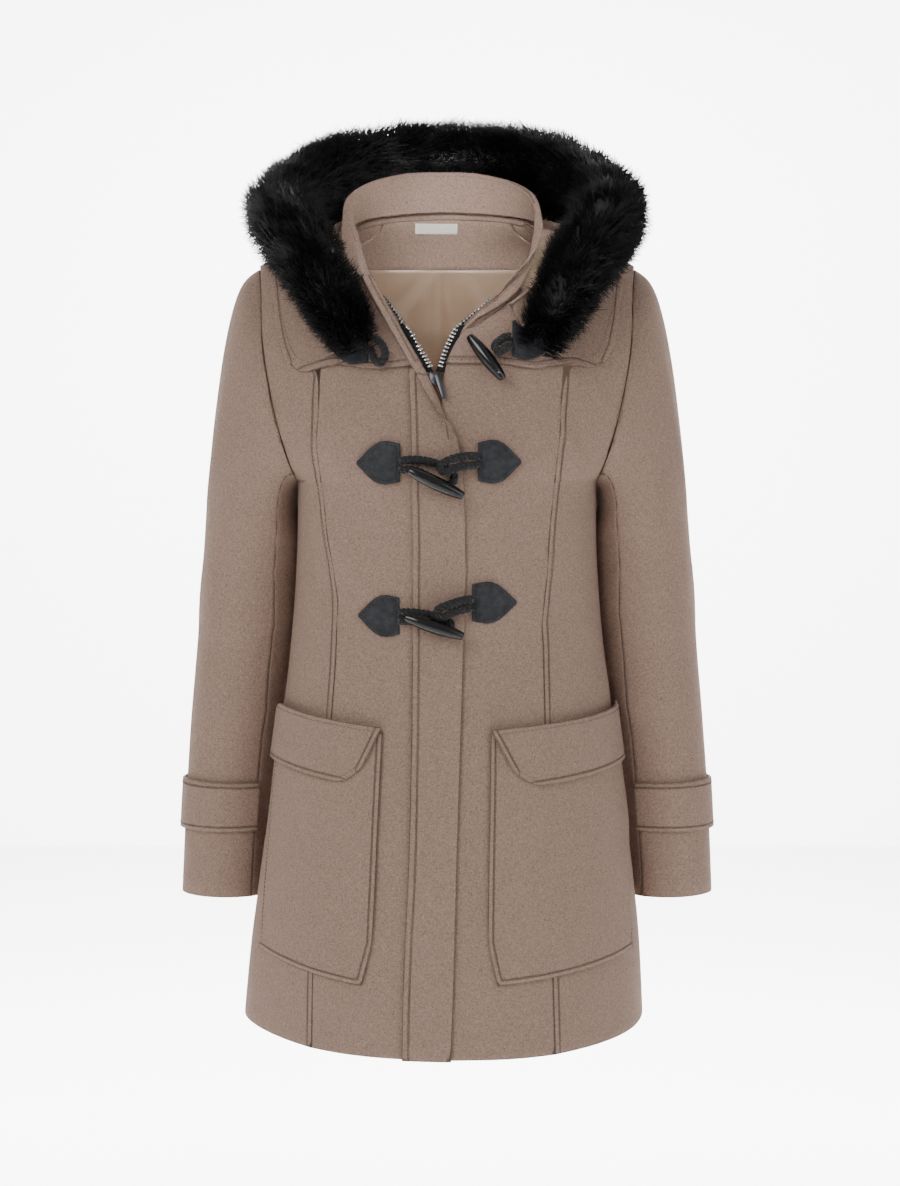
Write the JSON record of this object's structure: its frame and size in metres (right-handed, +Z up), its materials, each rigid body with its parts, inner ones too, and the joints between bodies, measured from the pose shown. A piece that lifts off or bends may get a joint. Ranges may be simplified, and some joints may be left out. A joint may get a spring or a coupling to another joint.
{
  "type": "duffle coat",
  "caption": "Hooded mid-thigh duffle coat in filled-out worn form, with toggles, zip, patch pockets and a fur-edged hood lying back.",
  "frame": {"origin": "on the coat's centre plane at the height of the shoulder tips, where the wearer's shoulders carry it", "axes": "+Z up, -Y towards the front closure, +X towards the wearer's left side"},
  "size_m": [0.5462, 0.3206, 0.9194],
  "materials": {
    "wool": "heathered melton",
    "satin": "smooth satin",
    "fur": "deep pile",
    "leather": "grained",
    "cord": "twisted",
    "horn": "polished",
    "zip_tape": "woven",
    "metal": "bright",
    "label": "woven, bare"
  },
  "bodies": {
    "coat": {"back_left": "wool", "back_lining": "satin", "back_right": "wool", "back_side_left": "wool", "back_side_right": "wool", "collar": "wool", "cord_loop_lower": "cord", "cord_loop_middle": "cord", "cord_loop_upper": "cord", "cord_tie_lower": "cord", "cord_tie_middle": "cord", "cord_tie_upper": "cord", "cuff_band_left": "wool", "cuff_band_right": "wool", "front_centre_left": "wool", "front_centre_right": "wool", "front_side_left": "wool", "front_side_right": "wool", "hood_fur": "fur", "hood_lining": "satin", "hood_shell": "wool", "neck_facing": "wool", "neck_label": "label", "pad_lower_left": "leather", "pad_lower_right": "leather", "pad_middle_left": "leather", "pad_middle_right": "leather", "pad_upper_left": "leather", "pad_upper_right": "leather", "placket": "wool", "pocket_flap_left": "wool", "pocket_flap_right": "wool", "pocket_left": "wool", "pocket_right": "wool", "sleeve_top_left": "wool", "sleeve_top_right": "wool", "sleeve_under_left": "wool", "sleeve_under_right": "wool", "toggle_lower": "horn", "toggle_middle": "horn", "toggle_upper": "horn", "yoke_back": "wool", "yoke_front_left": "wool", "yoke_front_right": "wool", "zip_chain": "metal", "zip_slider": "metal", "zip_tape_left": "zip_tape", "zip_tape_right": "zip_tape"},
    "pull_tab": {"zip_pull_tab": "metal"}
  },
  "joints": [
    {"name": "pull_tab_swing", "type": "hinge", "parent": "coat", "child": "pull_tab", "pos_m": [-0.00954, -0.11864, -0.11117], "axis": [-0.951, -0.0693, -0.3012], "range_deg": [0, 150]}
  ]
}
